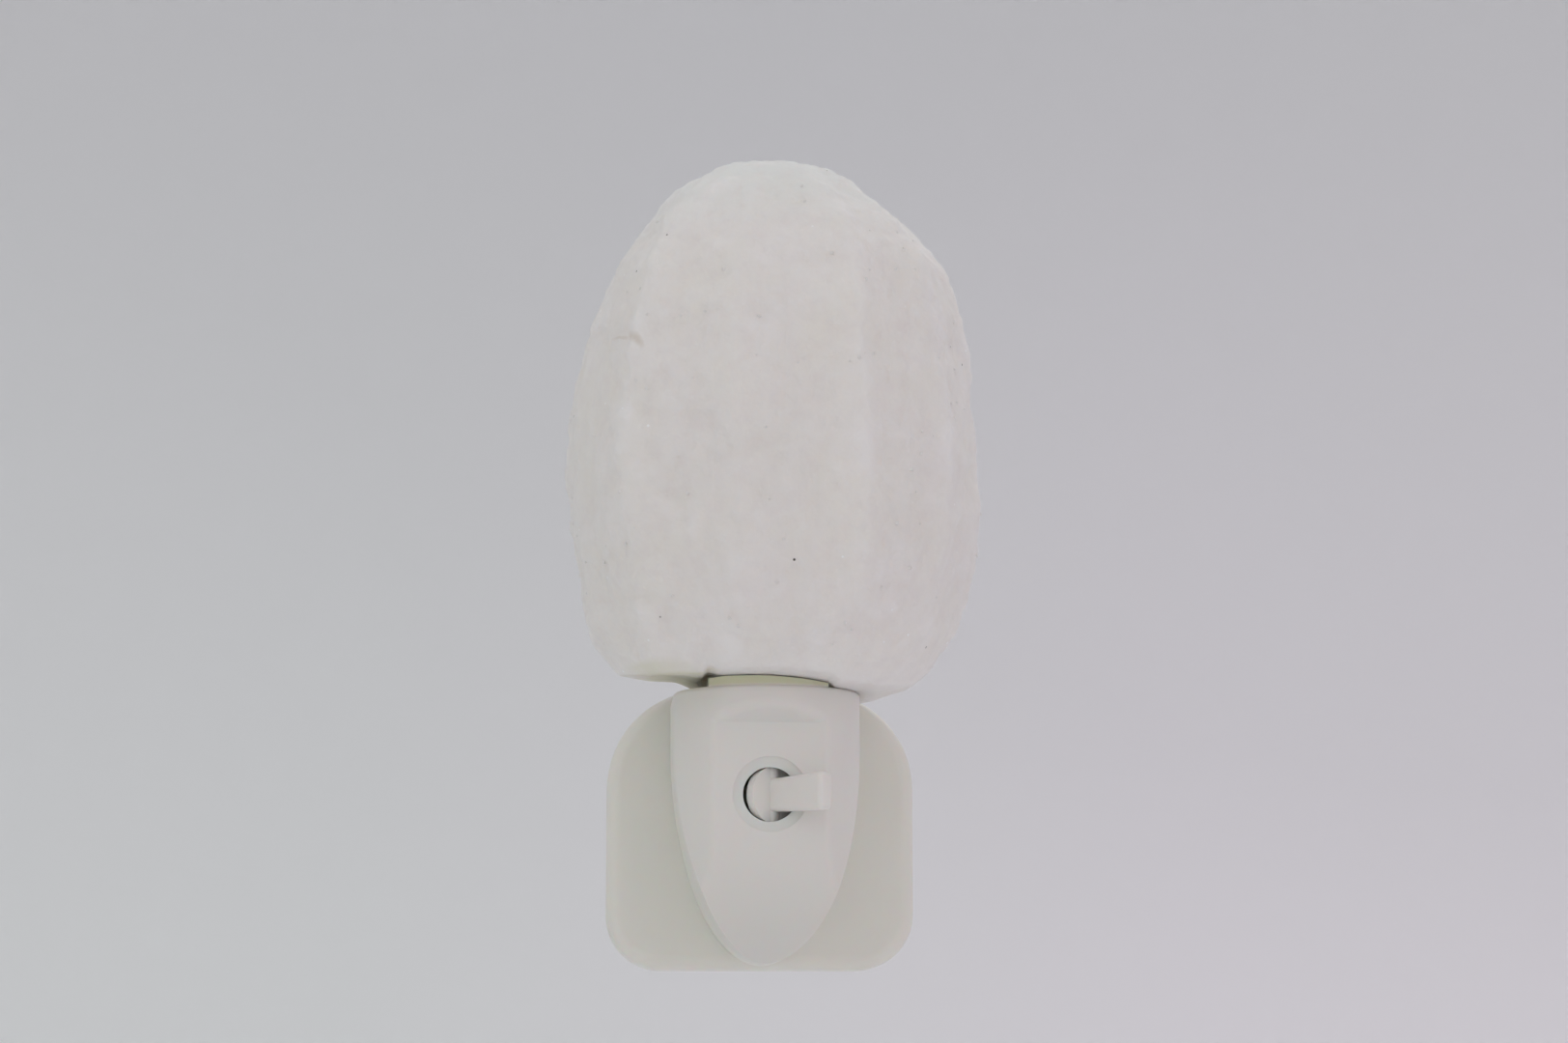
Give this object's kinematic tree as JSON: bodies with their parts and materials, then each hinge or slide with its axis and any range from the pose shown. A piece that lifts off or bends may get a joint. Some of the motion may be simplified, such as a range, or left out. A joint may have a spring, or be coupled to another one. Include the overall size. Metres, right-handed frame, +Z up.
{
  "type": "plug-in salt lamp",
  "caption": "Plug-in wall lamp: a rough white salt crystal stands on a moulded case with plug blades behind and a toggle switch in front, over a small bulb.",
  "frame": {"origin": "on the wall face of the lid, midway between the plug blades", "axes": "+X right seen from the front, +Y into the wall along the blades, +Z up along the lamp's axis"},
  "size_m": [0.0764, 0.0833, 0.15],
  "materials": {
    "salt": "rough, translucent",
    "case_plastic": "satin ivory",
    "holder_plastic": "matte ivory",
    "inner_plastic": "matte",
    "lever_plastic": "satin ivory",
    "brass": "bright",
    "blade_brass": "tarnished",
    "steel": "zinc plated",
    "bulb_glass": "clear",
    "stem_glass": "clear",
    "black_ceramic": "glossy black",
    "solder": "dull",
    "filament": "dull",
    "black_wire": "satin",
    "white_wire": "satin"
  },
  "bodies": {
    "case": {"front_cover": "case_plastic", "back_cover": "case_plastic", "cover_screws": "steel", "blade_neutral": "blade_brass", "blade_live": "blade_brass", "blade_retainer": "inner_plastic", "small_screws": "steel", "holder_sleeve": "holder_plastic", "holder_shell": "brass", "centre_contact": "brass", "holder_ring": "steel", "switch_frame": "inner_plastic", "pivot_pin": "steel", "line_terminal": "brass", "lamp_terminal": "brass", "wire_line": "black_wire", "wire_switched": "black_wire", "wire_neutral": "white_wire", "bulb_glass": "bulb_glass", "bulb_shell": "brass", "bulb_insulator": "black_ceramic", "bulb_tip": "solder", "bulb_stem": "stem_glass", "bulb_leads": "steel", "bulb_filament": "filament"},
    "lever": {"switch_lever": "lever_plastic"},
    "slide": {"switch_slider": "inner_plastic", "bridge_contact": "brass"},
    "crystal": {"salt_crystal": "salt"}
  },
  "joints": [
    {"name": "lever_flip", "type": "hinge", "parent": "case", "child": "lever", "pos_m": [0, -0.0395, 0.004], "axis": [0, 0, 1], "range_deg": [-72, 0]},
    {"name": "contact_slide", "type": "slide", "parent": "case", "child": "slide", "axis": [1, 0, 0], "range_m": [0, 0.00611]},
    {"name": "salt_lift", "type": "slide", "parent": "case", "child": "crystal", "axis": [0, 0, 1], "range_m": [0, 0.06]}
  ],
  "couplings": [
    {"joint": "lever_flip", "follows": "contact_slide", "rad_per_m": -205.57}
  ]
}
